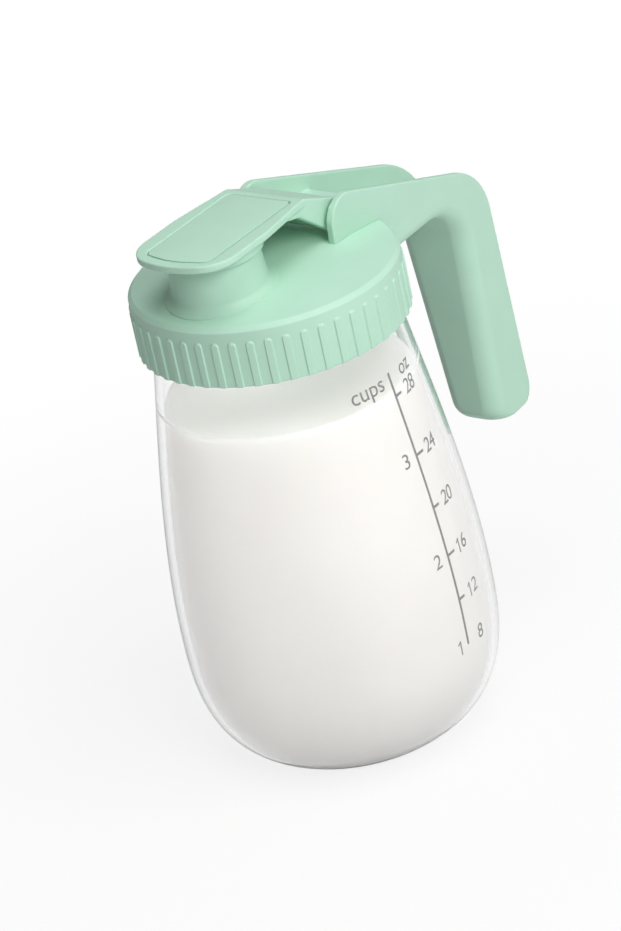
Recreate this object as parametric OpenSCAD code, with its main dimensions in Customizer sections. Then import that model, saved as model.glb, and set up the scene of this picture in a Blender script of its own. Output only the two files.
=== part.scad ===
// Milk storage jar with a screw lid, a side handle and a flip cap over the spout.
// Millimetres, +Z up, origin at the centre of the jar's base, handle towards +X.

/* [Jar] */
// Height of the shoulder, level with the closed lid's lower rim
shoulder_h = 146.5; // [125:0.5:180]
// Outside radius at the shoulder, just under the lid
shoulder_r = 39.9; // [36:0.1:44]
// Widest outside radius
belly_r = 51.5; // [47:0.5:58]
// Height of the widest point
belly_h = 46.5; // [38:0.5:60]
// Radius of the flat that the jar stands on
foot_r = 29; // [22:0.5:36]
// Squareness of the lower corner, 2 for an ellipse
heel_power = 3; // [2:0.1:4]
// Wall thickness
jar_wall = 2.5; // [1.8:0.1:3.2]
// Thickness of the floor
jar_floor = 4; // [2.5:0.5:8]

/* [Neck and thread] */
// Height of the neck above the shoulder
neck_h = 15; // [13:0.5:20]
// How far the neck is set in from the shoulder
neck_step = 1.5; // [1:0.1:2.5]
// Lid rise for one full turn
thread_pitch = 6; // [4.5:0.5:7]
// Turns of thread on the jar and in the lid
thread_turns = 1.1; // [0.8:0.1:1.3]
// Radial height of the thread
thread_depth = 1.9; // [1.2:0.1:2.4]
// Width of the thread at its root
thread_w = 2.6; // [1.8:0.1:2.8]
// Radial clearance from a thread's crest to the wall that it faces
thread_clear = 0.6; // [0.4:0.1:1]
// Thickness of the sealing ring
gasket_t = 2; // [1.5:0.1:3]

/* [Lid] */
// Wall thickness of the lid's skirt and dome
lid_wall = 2.7; // [2:0.1:3.5]
// Thickness of the lid's top above the sealing ring, at its outer edge
lid_top_t = 1.7; // [1.2:0.1:3]
// Rise and run of the bevel round the top
lid_bevel = 1.4; // [0.8:0.1:2]
// Rise of the dome above the bevel
dome_rise = 4.4; // [2:0.1:6]
// Number of grip ribs
rib_count = 48; // [24:1:60]
// Height of the grip ribs
rib_h = 15.5; // [8:0.5:16]
// Radial height of the grip ribs
rib_depth = 0.7; // [0.4:0.1:1]
// Share of the rim that the ribs take up, the rest being grooves
rib_share = 0.4; // [0.3:0.05:0.6]

/* [Spout] */
// Distance of the spout from the lid's axis
spout_offset = 21; // [19:0.5:22]
// Outside radius at the mouth
spout_tip_r = 14.4; // [13:0.1:15]
// Outside radius where the spout leaves its flared foot
spout_root_r = 15.6; // [15.2:0.1:16.5]
// Radius of the flared foot
spout_foot_r = 18; // [17:0.5:19]
// Height of the flared foot above the bevel
spout_foot_h = 4.8; // [4:0.1:6]
// Radius of the pouring hole
spout_bore_r = 12.4; // [10.5:0.1:12.8]
// Height of the mouth above the bevel
spout_h = 16.6; // [15.6:0.1:16.8]

/* [Handle] */
// Half width across the ears, at their front top corner
ear_half_w = 20; // [19.6:0.1:22]
// Narrowing of the handle towards the back, in degrees each side
taper_back = 2.35; // [1.5:0.05:3]
// Narrowing of the handle towards the bottom, in degrees each side
taper_down = 3.25; // [2:0.05:3.6]
// Wall thickness of the ears, arm and grip
handle_wall = 2.6; // [2:0.1:3]
// Slope of the arm's top edge, in degrees
arm_slope = 20.5; // [17:0.5:23]
// Radius of the ear's front corner, which is centred on the hinge
ear_r = 8.5; // [7.8:0.1:9.5]
// Distance from the lid's axis to the grip's back edge, at the bend
grip_back = 97.7; // [92:0.1:104]
// Depth of the grip from front to back, at the bend
grip_depth = 15.6; // [14:0.1:20]
// Height of the arm's underside above the lid's lower rim
arm_low = 5; // [3:0.1:7]
// Height of the grip's lower end above the jar's base
grip_low = 64.5; // [40:0.5:80]
// Lean of the grip's back face, in degrees
lean_back = 6.4; // [4:0.1:8]
// Lean of the grip's front face, in degrees
lean_front = 2.7; // [1:0.1:4]
// Radius of the outside of the bend
bend_out_r = 24; // [16:0.5:26]
// Radius of the inside of the bend
bend_in_r = 17; // [10:0.5:18]
// Radius of the lower end's corners
grip_end_r = 7.5; // [4:0.5:8]
// Width of the rounding along the grip's front edges
grip_round_w = 7.5; // [5:0.5:9]
// Depth of the rounding along the grip's front edges
grip_round_d = 6; // [5:0.5:9]
// Size of the rounding along the arm's lower edges
arm_round = 4; // [3.5:0.5:6]
// Thickness of the strip that closes the grip's back
cover_t = 2.4; // [1.6:0.1:3]

/* [Flip cap] */
// Distance of the hinge behind the lid's axis
hinge_x = 22.5; // [22:0.1:24]
// Height of the hinge above the bevel
hinge_lift = 8.25; // [7.8:0.05:9]
// Height of the cap's top above the hinge
cap_lift = 13.15; // [12.8:0.05:13.6]
// Thickness of the cap's plate
cap_t = 2.4; // [2:0.1:3]
// Half width of the cap's plate
cap_half_w = 18.4; // [17.5:0.1:19]
// Overhang of the plate's front edge past the spout's centre
cap_front = 22.8; // [22:0.1:27]
// Distance from the hinge forward to the end of the plate's flat top
cap_rear = 14.5; // [13:0.1:16]
// How far the plate's front edge bows out
cap_bow = 3.7; // [2:0.1:5]
// Radius of the plate's front corners
cap_corner_r = 12; // [8:0.5:13]
// Half width across the hinge arms
arm_half_w = 15.6; // [15:0.1:15.8]
// Thickness of each hinge arm
cap_arm_t = 3.6; // [2.5:0.1:5]
// Radius of the hinge arms round the hinge
knuckle_r = 5; // [4.6:0.1:5]
// Radius of the tube between the hinge arms
tube_r = 4; // [3.4:0.1:4.4]
// Height above the hinge where the cap's sloping top ends
skin_lift = 6.1; // [5.6:0.1:6.2]
// Radius of the hinge pins
pin_r = 2.4; // [1.6:0.1:3]
// Length of the hinge pins outside the arms
pin_len = 2; // [1.4:0.1:2.2]
// Outside radius of the skirt over the spout's mouth
skirt_r = 16.2; // [16:0.1:17]
// How far the skirt reaches over the spout's mouth
skirt_lap = 1.2; // [0.6:0.1:1.6]
// Half width of the inlay panel
panel_half_w = 12.6; // [10:0.1:14]
// Thickness of the inlay panel
panel_t = 1.1; // [0.8:0.1:1.3]
// Width of the plate's border in front of the panel
panel_border = 3.9; // [3.5:0.1:8]
// Depth of the seal's plug in the spout
plug_depth = 2.6; // [1.5:0.1:4]

/* [Fits] */
// Gap between fixed pieces
seat_gap = 0.2; // [0.1:0.05:0.3]
// Gap beside faces that slide past each other
side_gap = 0.3; // [0.2:0.05:0.4]
// Radial clearance of the hinge pins
pin_clear = 0.06; // [0.03:0.01:0.1]

/* [Hidden] */
$fn = 96;
arc_steps = 10;
// Size of cutting shapes that reach past everything, and their overlap with what they cut
reach = 300;
cut = 1;
// Small rounding of rims
rim_round = 0.5;

// Heights that follow from the jar
rim_z = shoulder_h + neck_h;
seat_z = rim_z + gasket_t;
bevel_z = seat_z + lid_top_t;
top_z = bevel_z + lid_bevel;
spout_z = top_z + spout_h;
hinge_z = top_z + hinge_lift;
cap_z = hinge_z + cap_lift;
cap_low_z = cap_z - cap_t;

// Radii that follow from the shoulder
seat_lip = 2;
neck_r = shoulder_r - neck_step;
mouth_r = neck_r - jar_wall;
lid_bore_r = neck_r + thread_depth + thread_clear;
band_r = lid_bore_r + lid_wall;
rib_r = band_r + rib_depth;
dome_r = band_r - lid_bevel;
seal_in_r = mouth_r + side_gap;
seal_out_r = lid_bore_r - side_gap;
dome_in_r = seal_in_r - seat_lip;

// Outline with its corners rounded: each corner is [x, y, radius]
function unit(v) = v / norm(v);
function turn(a) = (a + 900) % 360 - 180;
function half_angle(a, b, c) = acos(unit(a - b) * unit(c - b)) / 2;
function corner_o(a, b, c, r) = b + unit(unit(a - b) + unit(c - b)) * r / sin(half_angle(a, b, c));
function corner(a, b, c, r) =
    let (o = corner_o(a, b, c, r), l = r / tan(half_angle(a, b, c)))
    let (s = b + unit(a - b) * l - o, e = b + unit(c - b) * l - o)
    let (from = atan2(s.y, s.x), sweep = turn(atan2(e.y, e.x) - from))
    [for (i = [0 : arc_steps]) o + r * [cos(from + sweep * i / arc_steps), sin(from + sweep * i / arc_steps)]];
function flat(p) = [p.x, p.y];
function rounded(c) = let (n = len(c)) [
    for (i = [0 : n - 1])
        let (a = flat(c[(i + n - 1) % n]), b = flat(c[i]), d = flat(c[(i + 1) % n]))
        each c[i][2] == 0 ? [b] : corner(a, b, d, c[i][2])
];
function mirrored(c, tip) = concat(c, [tip], [for (i = [len(c) - 1 : -1 : 0]) [c[i].x, -c[i].y, c[i][2]]]);

// Solid swept through rows of n points, each row in turn seen along the sweep with its points to the left
module swept(rows, n, inward) {
    points = [for (row = rows) each row];
    last = len(points) - n;
    sides = [
        for (i = [0 : len(rows) - 2], k = [0 : n - 1])
            let (a = n * i + k, b = n * i + (k + 1) % n)
            each [[a, b, b + n], [a, b + n, a + n]]
    ];
    ends = [
        for (k = [1 : n - 2])
            each [[0, k + 1, k], [last, last + k, last + k + 1]]
    ];
    polyhedron(points, [for (f = concat(sides, ends)) inward ? [f[2], f[1], f[0]] : f]);
}

// Outside of the jar: a rounded heel below the belly and a long curve above it
heel_steps = 14;
side_steps = 22;
belly_pull = 38.4;
shoulder_pull = 15.8;
shoulder_lean = 0.1;
heel_h = belly_h / pow(1 - pow(foot_r / belly_r, heel_power), 1 / heel_power);
function heel_at(z) = belly_r * pow(1 - pow((belly_h - z) / heel_h, heel_power), 1 / heel_power);
function bend(t, a, b, c, d) =
    pow(1 - t, 3) * a + 3 * t * pow(1 - t, 2) * b + 3 * t * t * (1 - t) * c + pow(t, 3) * d;
function side_at(t) = bend(
    t, [belly_r, belly_h], [belly_r, belly_h + belly_pull],
    [shoulder_r + shoulder_lean * shoulder_pull, shoulder_h - shoulder_pull], [shoulder_r, shoulder_h]);
heel = [for (i = [0 : heel_steps - 1]) let (z = belly_h * (1 - cos(90 * i / heel_steps))) [heel_at(z), z]];
side = [for (i = [0 : side_steps]) side_at(i / side_steps)];
function inset(p) = [p.x - jar_wall, p.y];
inner_heel = [for (p = heel) if (p.y > jar_floor) inset(p)];
floor_r = heel_at(jar_floor) - jar_wall;

jar_profile = concat(
    [[0, 0]], heel, side,
    [[neck_r, shoulder_h + neck_step], [neck_r, rim_z - rim_round], [neck_r - rim_round, rim_z]],
    [[mouth_r + rim_round, rim_z], [mouth_r, rim_z - rim_round], [mouth_r, shoulder_h + neck_step]],
    [for (i = [len(side) - 1 : -1 : 0]) inset(side[i])],
    [for (i = [len(inner_heel) - 1 : -1 : 0]) inner_heel[i]],
    [[floor_r, jar_floor], [0, jar_floor]]);

// Helical thread: a trapezium swept up one screw line, rooted a little way into its wall
thread_steps = 30;
thread_root = 0.4;
thread_fade = 3;
thread_start = 0.1;
thread_rows = round(thread_turns * thread_steps);
function thread_row(i, wall, crest) =
    let (a = 360 * i / thread_steps, z = thread_pitch * i / thread_steps, d = [cos(a), sin(a), 0])
    let (grown = min(i, thread_rows - i) / thread_fade, tip = wall + (crest - wall) * min(1, max(thread_start, grown)))
    let (root = wall - sign(crest - wall) * thread_root, w = thread_w / 2, t = thread_w / 4)
    [d * root + [0, 0, z - w], d * tip + [0, 0, z - t], d * tip + [0, 0, z + t], d * root + [0, 0, z + w]];
module thread(wall, crest, z) {
    translate([0, 0, z])
        swept([for (i = [0 : thread_rows]) thread_row(i, wall, crest)], 4, crest < wall);
}
lid_thread_z = shoulder_h + thread_root + thread_w / 2;
jar_thread_z = lid_thread_z + thread_pitch / 2;

// Outside of the lid's dome at a distance from the axis
dome_steps = 10;
function dome_at(r) = top_z + dome_rise * (1 - pow(r / dome_r, 2));
function dome_line(from, drop) = [
    for (i = [0 : dome_steps]) let (r = from * (1 - i / dome_steps)) [r, dome_at(r) - drop]
];
module lid_form(gap) {
    foot = shoulder_h - (gap > 0 ? reach : 0);
    rotate_extrude() polygon(concat(
        [[0, foot], [rib_r + gap, foot], [rib_r + gap, shoulder_h + rib_h]],
        gap > 0 ? [[rib_r + gap, bevel_z]] : [[band_r, shoulder_h + rib_h + rib_depth], [band_r, bevel_z]],
        dome_line(dome_r, -gap)));
}
// Grooves between the ribs are round at the bottom, and stop just outside the band's face
groove_skin = 0.1;
groove_depth = rib_depth - groove_skin;
groove_half_w = PI * rib_r / rib_count * (1 - rib_share);
groove_r = (groove_half_w * groove_half_w + groove_depth * groove_depth) / (2 * groove_depth);

// Side outline of the handle, in X and Z
arm_z = shoulder_h + arm_low;
bend_z = hinge_z + (ear_r - (grip_back - hinge_x) * sin(arm_slope)) / cos(arm_slope);
crown_z = hinge_z + (ear_r + ear_r * sin(arm_slope)) / cos(arm_slope);
front_x = grip_back - grip_depth;
function back_x(z) = grip_back + (bend_z - z) * tan(lean_back);
function face_x(z) = front_x + (arm_z - z) * tan(lean_front);
handle_outline = rounded([
    [hinge_x - ear_r, arm_z, 0],
    [hinge_x - ear_r, crown_z, ear_r],
    [grip_back, bend_z, bend_out_r],
    [back_x(grip_low), grip_low, grip_end_r],
    [face_x(grip_low), grip_low, grip_end_r],
    [front_x, arm_z, bend_in_r]
]);

// Hollow between the handle's side walls, open at the top and the back
saddle_x = hinge_x + ear_r;
saddle_z = dome_at(saddle_x) + handle_wall / 2;
step_x = rib_r + handle_wall;
floor_z = arm_z + handle_wall;
hollow_low = grip_low + grip_end_r + handle_wall;
hollow_outline = rounded([
    [hinge_x - 2 * ear_r, arm_z - cut, 0],
    [hinge_x - 2 * ear_r, reach, 0],
    [reach, reach, 0],
    [reach, hollow_low, 0],
    [face_x(hollow_low) + handle_wall, hollow_low, 0],
    [front_x + handle_wall, floor_z, bend_in_r + handle_wall],
    [step_x, floor_z, 0],
    [step_x, saddle_z, 0],
    [saddle_x, saddle_z, 0],
    [saddle_x, arm_z - cut, 0]
]);

// Rounded form of arm and grip: sections across the inner edge, from the grip's end up to the ears
round_steps = 6;
form_lap = 0.2;
form_deep = 80;
least_flat = 1;
side_lean = norm([tan(taper_back), 1, tan(taper_down)]);
function half_w(p, drawn_in) =
    ear_half_w - (p.x - hinge_x + ear_r) * tan(taper_back) - (hinge_z + ear_r - p.y) * tan(taper_down)
    - drawn_in * side_lean;
function section(p, n, w, d, drawn_in) =
    let (q = p + n * drawn_in, deep = d - drawn_in, side_w = half_w(q + n * deep, drawn_in))
    let (flat_w = max(least_flat, side_w - w + drawn_in))
    let (edge = [
        for (i = [0 : round_steps])
            let (a = 90 * i / round_steps)
            [flat_w + (side_w - flat_w) * sin(a), deep - (deep + form_lap) * cos(a)]
    ])
    let (right = concat(edge, [[half_w(q + n * form_deep, drawn_in), form_deep]]))
    let (left = [for (i = [len(right) - 1 : -1 : 0]) [-right[i].x, right[i].y]])
    [for (e = concat(right, left)) [q.x + n.x * e.y, e.x, q.y + n.y * e.y]];
bend_o = corner_o([face_x(grip_low), grip_low], [front_x, arm_z], [hinge_x, arm_z], bend_in_r);
function bend_section(k, drawn_in) =
    let (a = lean_front + (90 - lean_front) * k, n = [cos(a), sin(a)])
    let (w = grip_round_w + (arm_round - grip_round_w) * k, d = grip_round_d + (arm_round - grip_round_d) * k)
    section(bend_o + n * bend_in_r, n, w, d, drawn_in);
// The lower end carries the front edges' rounding round its corners
end_steps = 5;
face_n = [cos(lean_front), sin(lean_front)];
function end_section(a, drop, drawn_in) =
    let (z = grip_low + grip_end_r * (1 - cos(a)) - drop)
    section([face_x(z), z] + face_n * grip_end_r * (1 - sin(a)), face_n, grip_round_w, grip_round_d, drawn_in);
module grip_form(drawn_in) {
    swept(concat(
        [end_section(0, cut, drawn_in)],
        [for (i = [0 : end_steps]) end_section(90 * i / end_steps, 0, drawn_in)],
        [for (i = [0 : arc_steps]) bend_section(i / arc_steps, drawn_in)],
        [section([hinge_x - 2 * ear_r, arm_z], [0, 1], arm_round, arm_round, drawn_in)]
    ), 2 * round_steps + 4, false);
}
side_plate_w = 60;
module side_plate(outline) {
    rotate([90, 0, 0]) linear_extrude(side_plate_w, center = true) polygon(outline);
}
module filled(outline, drawn_in) {
    intersection() {
        side_plate(outline);
        grip_form(drawn_in);
    }
}

// Strip along the grip's back, between two heights, from outside its back face to a depth
function back_strip(from, to, out, deep) = [
    [back_x(from) + out, from], [back_x(to) + out, to], [back_x(to) - deep, to], [back_x(from) - deep, from]
];
web_t = 2.4;
bend_end_z = bend_z - bend_out_r * tan((90 - arm_slope - lean_back) / 2) * cos(lean_back);
web_z = bend_end_z - web_t;
rib_levels = [for (k = [1, 2]) hollow_low + (web_z - hollow_low) * k / 3];
rib_reach = 2 * grip_depth;

// Hinge: the ear's boss, and the end of the pin's blind hole
boss_step = 0.8;
boss_r = knuckle_r - boss_step;
boss_y = arm_half_w + side_gap;
hole_y = arm_half_w + pin_len + side_gap;

// Tongues under the ears that sit in slots in the lid's dome
tongue_back = 3.5;
tongue_x = hinge_x + tongue_back;
tongue_len = 8;
tongue_t = 1.4;
tongue_in = 2.8;
tongue_deep = 0.3;
tongue_low = top_z - tongue_deep;
module tongues(gap) {
    for (s = [-1, 1])
        translate([tongue_x - gap, s * (ear_half_w - tongue_in) - tongue_t / 2 - gap, tongue_low - gap])
            cube([tongue_len + 2 * gap, tongue_t + 2 * gap, dome_rise + 2 * gap]);
}

// Flip cap's plate and panel, in X and Y, with a bowed front edge
bow_r = 32;
bow_angle = atan(cap_bow / cap_half_w);
waist_back = 6;
waist_x = waist_back - spout_offset;
waist_r = 20;
cap_front_x = -spout_offset - cap_front;
cap_rear_x = hinge_x - cap_rear;
function bow_tip(x, r) = [x - r * (1 / cos(bow_angle) - 1), 0, r];
function bow_corner(x, w, r) = [bow_tip(x, bow_r).x + w * tan(bow_angle), w, r];
cap_outline = rounded(mirrored([
    [cap_rear_x, arm_half_w, 0],
    [waist_x, cap_half_w, waist_r],
    bow_corner(cap_front_x, cap_half_w, cap_corner_r)
], bow_tip(cap_front_x, bow_r)));
panel_rear = 2.5;
panel_rear_r = 1.8;
panel_corner_r = 3.5;
function panel_outline(gap) =
    let (x = cap_front_x + panel_border - gap, w = panel_half_w + gap)
    rounded(mirrored([
        [cap_rear_x - panel_rear + gap, w, panel_rear_r],
        bow_corner(x, w, panel_corner_r)
    ], bow_tip(x, bow_r - panel_border)));

// Side outlines of the hinge arms and of the skin between them, from the plate round the hinge
arm_peak = 18;
arm_reach = 10;
arm_deep = 2.5;
skin_over = 1.5;
skin_sink = 0.5;
arm_peak_x = hinge_x - arm_peak;
hinge = [hinge_x, hinge_z];
plate_end = [cap_rear_x, cap_z];
skin_end = hinge + [skin_over, skin_lift];
arm_under = [arm_peak_x, cap_low_z - arm_deep];
function knuckle(a) = hinge + knuckle_r * [cos(a), sin(a)];
function tangent_at(p, side) = atan2(p.y - hinge.y, p.x - hinge.x) + side * acos(knuckle_r / norm(p - hinge));
top_a = tangent_at(skin_end, -1);
under_a = tangent_at(arm_under, 1) - 360;
knuckle_steps = 2 * arc_steps;
arm_outline = concat(
    [[arm_peak_x - arm_reach, cap_low_z], [arm_peak_x - arm_reach, cap_z], plate_end, skin_end],
    [for (i = [0 : knuckle_steps]) knuckle(top_a + (under_a - top_a) * i / knuckle_steps)],
    [arm_under]);
skin_outline = [plate_end, skin_end, hinge + [0, tube_r - skin_sink], [cap_rear_x, cap_low_z]];

// Skirt and seal over the spout's mouth
skirt_in_r = spout_tip_r + 2 * side_gap;
skirt_low = spout_z - skirt_lap;
stem_r = 2.6;
stem_gap = 0.1;
plug_gap = 0.5;
plug_draft = 1;

// Clear jar with a threaded neck
module jar() {
    color([0.88, 0.93, 0.94, 0.45]) union() {
        rotate_extrude() polygon(jar_profile);
        thread(neck_r, neck_r + thread_depth, jar_thread_z);
    }
}

// Soft ring between the jar's rim and the lid
module lid_gasket() {
    color("whitesmoke")
        translate([0, 0, rim_z])
            difference() {
                cylinder(r = seal_out_r, h = gasket_t);
                translate([0, 0, -cut]) cylinder(r = seal_in_r, h = gasket_t + 2 * cut);
            }
}

// Screw lid with grip ribs, dome and pouring spout
module lid() {
    hollow = concat(
        [[0, shoulder_h - cut], [lid_bore_r, shoulder_h - cut], [lid_bore_r, seat_z], [dome_in_r, seat_z]],
        dome_line(dome_in_r, lid_wall));
    foot_steps = 6;
    flare_slope = 1.5;
    flare = spout_foot_r - spout_root_r;
    flare_h = flare_slope * flare;
    spout = concat(
        [[0, bevel_z], [spout_foot_r, bevel_z]],
        [for (i = [0 : foot_steps])
            let (a = 90 * i / foot_steps)
            [spout_foot_r - flare * sin(a), top_z + spout_foot_h - flare_h * cos(a)]],
        [[spout_tip_r, spout_z - rim_round], [spout_tip_r - rim_round, spout_z], [0, spout_z]]);
    color("#bfe3cd") union() {
        difference() {
            union() {
                lid_form(0);
                translate([-spout_offset, 0, 0]) rotate_extrude() polygon(spout);
            }
            rotate_extrude() polygon(hollow);
            translate([-spout_offset, 0, rim_z]) cylinder(r = spout_bore_r, h = reach);
            for (i = [0 : rib_count - 1])
                rotate([0, 0, 360 * (i + 0.5) / rib_count])
                    translate([rib_r + groove_r - groove_depth, 0, shoulder_h - cut])
                        cylinder(r = groove_r, h = rib_h + rib_depth + cut, $fn = 24);
            tongues(seat_gap);
        }
        thread(lid_bore_r, lid_bore_r - thread_depth, lid_thread_z);
    }
}

// Two ears, an arm open on top and a hollow grip, in one moulding
module handle() {
    color("#b8ddc8") difference() {
        union() {
            difference() {
                filled(handle_outline, 0);
                filled(hollow_outline, handle_wall);
                lid_form(seat_gap);
            }
            intersection() {
                filled(handle_outline, 0);
                tongues(0);
            }
            // Wall that ends the arm's channel above the grip
            filled(back_strip(web_z, web_z + web_t, 0, rib_reach), handle_wall / 2);
            // Cross ribs that the back strip lies on
            for (z = rib_levels)
                filled(back_strip(z, z + web_t, -cover_t - seat_gap, rib_reach), handle_wall / 2);
            // Bosses round the hinge holes
            for (s = [-1, 1])
                translate([hinge_x, s * boss_y, hinge_z])
                    rotate([-90 * s, 0, 0])
                        cylinder(r = boss_r, h = ear_half_w - boss_y - handle_wall / 2);
        }
        for (s = [-1, 1])
            translate([hinge_x, s * (boss_y - cut), hinge_z])
                rotate([-90 * s, 0, 0])
                    cylinder(r = pin_r + pin_clear, h = hole_y - boss_y + cut);
    }
}

// Strip that closes the hollow grip at the back
module grip_cover() {
    color("#a9d2ba")
        filled(back_strip(hollow_low + seat_gap, web_z - seat_gap, 0, cover_t), handle_wall + seat_gap);
}

// Spout cover with hinge arms, hinge tube, pins and a skirt round the spout's mouth
module flip_cap() {
    color("#c5ebd6") difference() {
        union() {
            translate([0, 0, cap_low_z]) linear_extrude(cap_t) polygon(cap_outline);
            translate([-spout_offset, 0, skirt_low]) cylinder(r = skirt_r, h = cap_low_z - skirt_low + cut);
            for (s = [-1, 1])
                translate([0, s * (arm_half_w - cap_arm_t / 2), 0])
                    rotate([90, 0, 0])
                        linear_extrude(cap_arm_t, center = true) polygon(arm_outline);
            rotate([90, 0, 0])
                linear_extrude(2 * arm_half_w - cap_arm_t, center = true) polygon(skin_outline);
            translate([hinge_x, 0, hinge_z]) rotate([90, 0, 0]) {
                cylinder(r = tube_r, h = 2 * arm_half_w - cap_arm_t, center = true);
                cylinder(r = pin_r, h = 2 * (arm_half_w + pin_len), center = true);
            }
        }
        translate([-spout_offset, 0, skirt_low - cut]) cylinder(r = skirt_in_r, h = cap_low_z - skirt_low + cut);
        translate([0, 0, cap_z - panel_t]) linear_extrude(panel_t + cut) polygon(panel_outline(seat_gap));
        translate([-spout_offset, 0, skirt_low]) cylinder(r = stem_r + stem_gap, h = reach);
    }
}

// Inlay plate in the cap's top, over the seal's stem
module flip_panel() {
    color("#bde2cc")
        translate([0, 0, cap_z - panel_t])
            linear_extrude(panel_t) polygon(panel_outline(0));
}

// Soft plug under the cap: a disc in the skirt, a plug in the spout and a stem through the plate
module spout_seal() {
    plug_r = spout_bore_r - plug_gap;
    color("white")
        translate([-spout_offset, 0, 0])
            rotate_extrude() polygon([
                [0, spout_z - plug_depth], [plug_r - plug_draft, spout_z - plug_depth],
                [plug_r, spout_z + side_gap], [skirt_in_r - seat_gap, spout_z + side_gap],
                [skirt_in_r - seat_gap, cap_low_z], [stem_r, cap_low_z],
                [stem_r, cap_z - panel_t], [0, cap_z - panel_t]
            ]);
}

jar();
lid_gasket();
lid();
handle();
grip_cover();
flip_cap();
flip_panel();
spout_seal();
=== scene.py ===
import math

import bmesh
import bpy
from mathutils import Euler, Matrix, Vector


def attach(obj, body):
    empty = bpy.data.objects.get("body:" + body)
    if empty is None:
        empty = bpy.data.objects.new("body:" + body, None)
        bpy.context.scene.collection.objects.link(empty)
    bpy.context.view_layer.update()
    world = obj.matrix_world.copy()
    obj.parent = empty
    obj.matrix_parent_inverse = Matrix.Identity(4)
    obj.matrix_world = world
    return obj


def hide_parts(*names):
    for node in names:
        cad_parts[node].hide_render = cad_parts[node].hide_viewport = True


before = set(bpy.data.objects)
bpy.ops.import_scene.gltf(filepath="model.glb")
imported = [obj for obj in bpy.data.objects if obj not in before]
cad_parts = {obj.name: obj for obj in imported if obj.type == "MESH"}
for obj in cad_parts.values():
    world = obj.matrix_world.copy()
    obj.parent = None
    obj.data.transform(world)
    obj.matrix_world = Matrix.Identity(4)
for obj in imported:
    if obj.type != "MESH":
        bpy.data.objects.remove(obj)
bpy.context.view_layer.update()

mm = 0.001  # pieces are drawn in millimetres; finished objects, lamps and camera are in metres
weldDist = 0.001  # in millimetres: points closer than this become one
scene = bpy.context.scene
print("frame loaded:", ", ".join(sorted(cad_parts)))


# outline helpers

def roundPath(corners, steps):
    # closed outline from (x, y, radius) corners
    path = []
    for i, (bx, by, radius) in enumerate(corners):
        corner = Vector((bx, by))
        if radius == 0:
            path.append(corner)
            continue
        back = (Vector(corners[i - 1][:2]) - corner).normalized()
        ahead = (Vector(corners[(i + 1) % len(corners)][:2]) - corner).normalized()
        half = back.angle(ahead) / 2
        centre = corner + (back + ahead).normalized() * (radius / math.sin(half))
        reach = radius / math.tan(half)
        start = corner + back * reach - centre
        end = corner + ahead * reach - centre
        first = math.atan2(start.y, start.x)
        sweep = (math.atan2(end.y, end.x) - first + math.pi) % (2 * math.pi) - math.pi
        for k in range(steps + 1):
            a = first + sweep * k / steps
            path.append(centre + Vector((math.cos(a), math.sin(a))) * radius)
    return path


def cornerArc(cx, cz, r, first, last, steps=6):
    # angles in degrees
    arc = []
    for k in range(steps + 1):
        a = math.radians(first + (last - first) * k / steps)
        arc.append((cx + r * math.cos(a), cz + r * math.sin(a)))
    return arc


def curvePoint(a, b, c, t):
    # on the soft curve from a to c that b pulls to its side
    return tuple((1 - t) ** 2 * p + 2 * t * (1 - t) * q + t * t * r for p, q, r in zip(a, b, c))


# mesh helpers

def newPiece(name, points, faces):
    mesh = bpy.data.meshes.new(name)
    mesh.from_pydata([tuple(p) for p in points], [], faces)
    mesh.update()
    piece = bpy.data.objects.new(name, mesh)
    scene.collection.objects.link(piece)
    return piece


def tidyNormals(piece):
    bm = bmesh.new()
    bm.from_mesh(piece.data)
    bmesh.ops.recalc_face_normals(bm, faces=bm.faces)
    bm.to_mesh(piece.data)
    bm.free()
    return piece


def finishPiece(piece, body, material, nodes=(), flatAngle=None):
    # outward normals, metres, smooth shading, then onto its body
    tidyNormals(piece)
    piece.data.transform(Matrix.Scale(mm, 4))
    piece.data.polygons.foreach_set("use_smooth", [True] * len(piece.data.polygons))
    if flatAngle:
        piece.data.set_sharp_from_angle(angle=math.radians(flatAngle))
    piece.data.materials.clear()
    piece.data.materials.append(material)
    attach(piece, body)
    if nodes:
        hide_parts(*nodes)
    print("made", piece.name, len(piece.data.vertices), "points")
    return piece


def ringFaces(rows, count, closed=False):
    # quads between neighbouring loops; a closed stack also joins its last loop to its first
    faces = []
    for i in range(rows if closed else rows - 1):
        low = i * count
        high = (i + 1) % rows * count
        for k in range(count):
            n = (k + 1) % count
            faces.append((low + k, low + n, high + n, high + k))
    return faces


def cappedPiece(name, rows):
    # skin over a stack of loops, closed by a face at each end
    count = len(rows[0])
    points = [p for row in rows for p in row]
    faces = ringFaces(len(rows), count)
    faces += [tuple(range(count)), tuple(range(len(points) - count, len(points)))]
    return newPiece(name, points, faces)


def lathePiece(name, profile, count, swell=None, centre=(0, 0)):
    # turned from (radius, height) points: solid if the profile starts and ends on the axis, else a ring
    start = 1 if profile[0][0] == 0 else 0
    stop = len(profile) - 1 if profile[-1][0] == 0 else len(profile)
    points = []
    for r, z in profile[start:stop]:
        for k in range(count):
            a = 2 * math.pi * k / count
            rr = r + (swell(a, r, z) if swell else 0)
            points.append((centre[0] + rr * math.cos(a), centre[1] + rr * math.sin(a), z))
    rows = stop - start
    capped = start == 1
    faces = ringFaces(rows, count, closed=not capped)
    if capped:
        for z, row in ((profile[0][1], 0), (profile[-1][1], rows - 1)):
            points.append((centre[0], centre[1], z))
            tip = len(points) - 1
            for k in range(count):
                faces.append((row * count + k, row * count + (k + 1) % count, tip))
    return newPiece(name, points, faces)


def bakeShape(piece):
    graph = bpy.context.evaluated_depsgraph_get()
    mesh = bpy.data.meshes.new_from_object(piece.evaluated_get(graph))
    old = piece.data
    piece.modifiers.clear()
    piece.data = mesh
    bpy.data.meshes.remove(old)


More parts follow.
